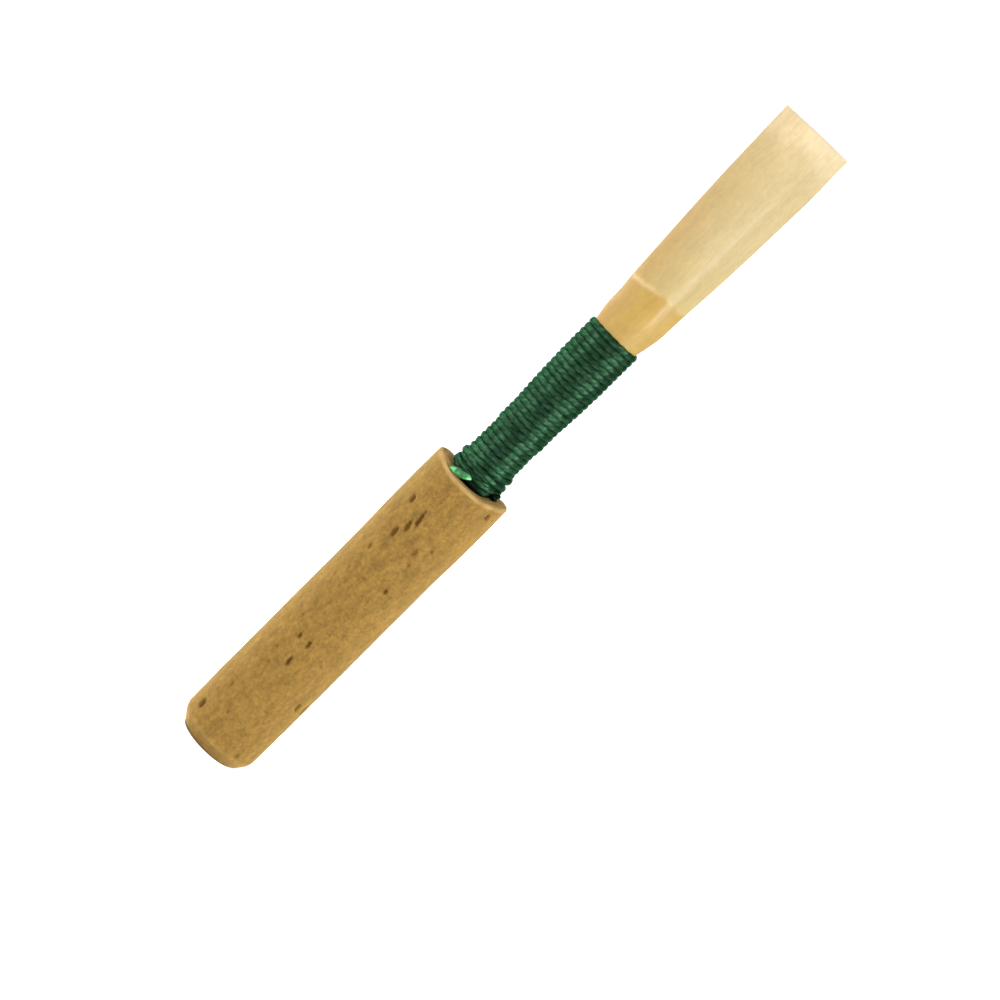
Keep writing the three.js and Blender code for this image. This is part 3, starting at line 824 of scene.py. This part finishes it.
# Painted shade on the thread where it meets the cork.
SHADE_BY_CORK = ("Z", 30.75, 31.7, 0.15, 1.0)  # the thread is darker where it meets the cork
thread_finish = nylon("green_nylon", (28, 56, 37), (48, 81, 57), SHADE_BY_CORK)


def tuck(way):
    """1 at the strand's first end, which is tucked under the second turn, and 0 from there on."""
    return 1 - smooth(share(WINDING_TURNS * way, 0, TUCKED_TURNS))


def winding_centre(way):
    """The strand's path, from its tucked end at the back of the top down to the bare staple."""
    turned = WINDING_TURNS * way
    angle = math.pi / 2 - 2 * math.pi * turned
    lean = WINDING_LEAN + 0.9 * math.exp(-turned / 1.5)
    descent = turned - lean / (2 * math.pi) * math.sin(-2 * math.pi * turned)
    wander = 0.045 * noise.noise(Vector((turned * 0.8, 3.1, 0))) * math.sin(math.pi * way)
    front_rise = 0.1 * math.exp(-turned / 3) * max(0, -math.sin(angle))
    z = blend(WINDING_TOP + 0.12 - STRAND_WIDE / 2, WINDING_FOOT, descent / WINDING_TURNS)
    z += wander + front_rise
    lift = STRAND_THICK * (1 - STRAND_CROWN) + 0.02 * noise.noise(Vector((turned * 1.3, 0, 5)))
    lift -= WAIST_DEPTH * math.exp(-((z - WAIST_HEIGHT) / WAIST_REACH) ** 2)
    return on_bound(angle, z - 0.42 * tuck(way), lift - 0.05 * tuck(way))


winding = lay_strand("green_thread_winding", (17, 17, 17), winding_centre,
                     lambda way: STRAND_THICK * (1 - 0.5 * tuck(way)),
                     lambda way: STRAND_WIDE * (1 - 0.5 * tuck(way)), crown_share=STRAND_CROWN)
winding.data.materials.append(thread_finish)
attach(winding, "root")
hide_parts("thread_winding")

# Thread hitches
# The strand's last turns, laid down to the cork, crossed by two hitches pulled tight over them,
# and the knot in which they end at the right.

HITCH_TURNS = 6.25
HITCH_DESCENT = 0.555  # in a turn
HITCH_LIFT = 0.07
CROSSING_THICK = 0.3
CROSSING_WIDE = 0.46


def cork_face(angle):
    """The height of the cork's worn upper face on a side of it."""
    return CORK_WORN_TOP - CORK_SADDLE * smooth(math.sin(angle) ** 2)


def last_turn_centre(way):
    """The last turns' path, on down from the winding until they lie over each other on the cork."""
    turned = HITCH_TURNS * way
    angle = math.pi / 2 - 2 * math.pi * turned
    z = max(WINDING_FOOT - 0.02 - HITCH_DESCENT * turned, cork_face(angle) + 0.26)
    over_others = 0.18 * smooth(share(turned, 4.8, 5.6))
    return on_bound(angle, z, HITCH_LIFT + 0.02 * math.sin(5 * angle) + over_others)


# Each place on the crossing hitches is its turns from the back, its height and its lift.
CROSSING = ((0, 33.3, 0.17), (0.25, 32.7, 0.35), (0.5, 32.75, 0.33), (0.75, 32.1, 0.35), (1, 31.9, 0.33),
            (1.25, 31.95, 0.38), (1.5, 32.2, 0.35), (1.75, 32.35, 0.33), (2, 31.7, 0.33),
            (2.25, 31.5, 0.33), (2.5, 31.25, 0.37), (2.75, 31.45, 0.3), (3, 31.6, 0.26))


def crossing_centre(way):
    """The hitches' path through those places, its corners rounded off."""
    turned, heights, lifts = (np.array(column) for column in zip(*CROSSING))
    here = way * turned[-1]
    nearby = here + np.array((-0.06, 0, 0.06))
    z, lift = (np.interp(nearby, turned, column).mean() for column in (heights, lifts))
    return on_bound(math.pi / 2 - 2 * math.pi * here, z, lift)


KNOT = Vector((2.2, -0.98, 31.15))
KNOT_SIZE = 0.15
KNOT_THICK = 0.3
KNOT_WIDE = 0.34
knot_out = Vector((KNOT.x, KNOT.y, 0)).normalized()
knot_side = Vector((0, 0, 1)).cross(knot_out)


def knot_centre(way):
    """A tight overhand knot, its loops side by side against the thread."""
    s = 0.2 + (2 * math.pi - 0.4) * way
    return KNOT + KNOT_SIZE * ((math.sin(s) + 2 * math.sin(2 * s)) * knot_side * 0.9
                               + (math.cos(s) - 2 * math.cos(2 * s)) * Vector((0, 0, 1))
                               - 1.3 * math.sin(3 * s) * knot_out)


hitches = lay_strand("green_thread_hitches", (11, 11, 9), last_turn_centre,
                     lambda way: STRAND_THICK, lambda way: STRAND_WIDE, crown_share=STRAND_CROWN)
crossing = lay_strand("crossing_hitches", (11, 9, 5), crossing_centre,
                      lambda way: CROSSING_THICK, lambda way: CROSSING_WIDE)
knot = lay_strand("knot", (11, 11), knot_centre, lambda way: KNOT_THICK, lambda way: KNOT_WIDE,
                  lambda way: tuple(knot_out))
# The hitches' green is a little lighter than the winding's: painted light.
lit_hitch_finish = nylon("lit_hitch_nylon", (31, 61, 41), (52, 89, 62), SHADE_BY_CORK)
# The knot's green is far darker than the thread's: painted shadow, with more painted shade near the cork.
shaded_knot_finish = nylon("shaded_knot_nylon", (10, 22, 14), (20, 42, 28), ("Z", 30.75, 31.7, 0.3, 1.0))
for strand, finish in ((hitches, lit_hitch_finish), (crossing, lit_hitch_finish), (knot, shaded_knot_finish)):
    strand.data.materials.append(finish)
pick(hitches, crossing, knot)
bpy.ops.object.join()
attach(hitches, "root")
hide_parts("thread_hitches")

# Thread tail
# The strand's cut end, flattened, which lies on the cork's upper face in front of the thread. Its
# green is lighter, partly where its plies have opened and partly as painted light.

TAIL_THICK = 0.26
TAIL_WIDE = 0.7
TAIL_PLACES = ((-0.1, -2.55, 31.2), (-0.5, -2.68, 31.12), (-1.0, -2.8, 30.98), (-1.5, -2.78, 30.86),
               (-1.98, -2.62, 30.75))


def tail_centre(way):
    """A place along the tail, from where it leaves the thread to its tip."""
    turned = np.linspace(0, 1, len(TAIL_PLACES))
    return [np.interp(way, turned, column) for column in zip(*TAIL_PLACES)]


def tail_swell(way):
    """The tail's thickness along it, as a share: it tapers at both ends."""
    return max(0.12, math.sin(math.pi * (0.04 + 0.86 * way)) ** 0.6)


tail = lay_strand("green_thread_tail", (11, 5), tail_centre, lambda way: TAIL_THICK * tail_swell(way),
                  lambda way: TAIL_WIDE * tail_swell(way), lambda way: (-0.25, -1, 0.55))
# Its fade paints a highlight towards the tail's right end, where it leaves the thread.
highlit_cut_finish = nylon("highlit_cut_nylon", (60, 119, 73), (97, 161, 107), ("X", -2.0, -0.4, 0.75, 1.6))
tail.data.materials.append(highlit_cut_finish)
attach(tail, "root")
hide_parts("thread_tail")
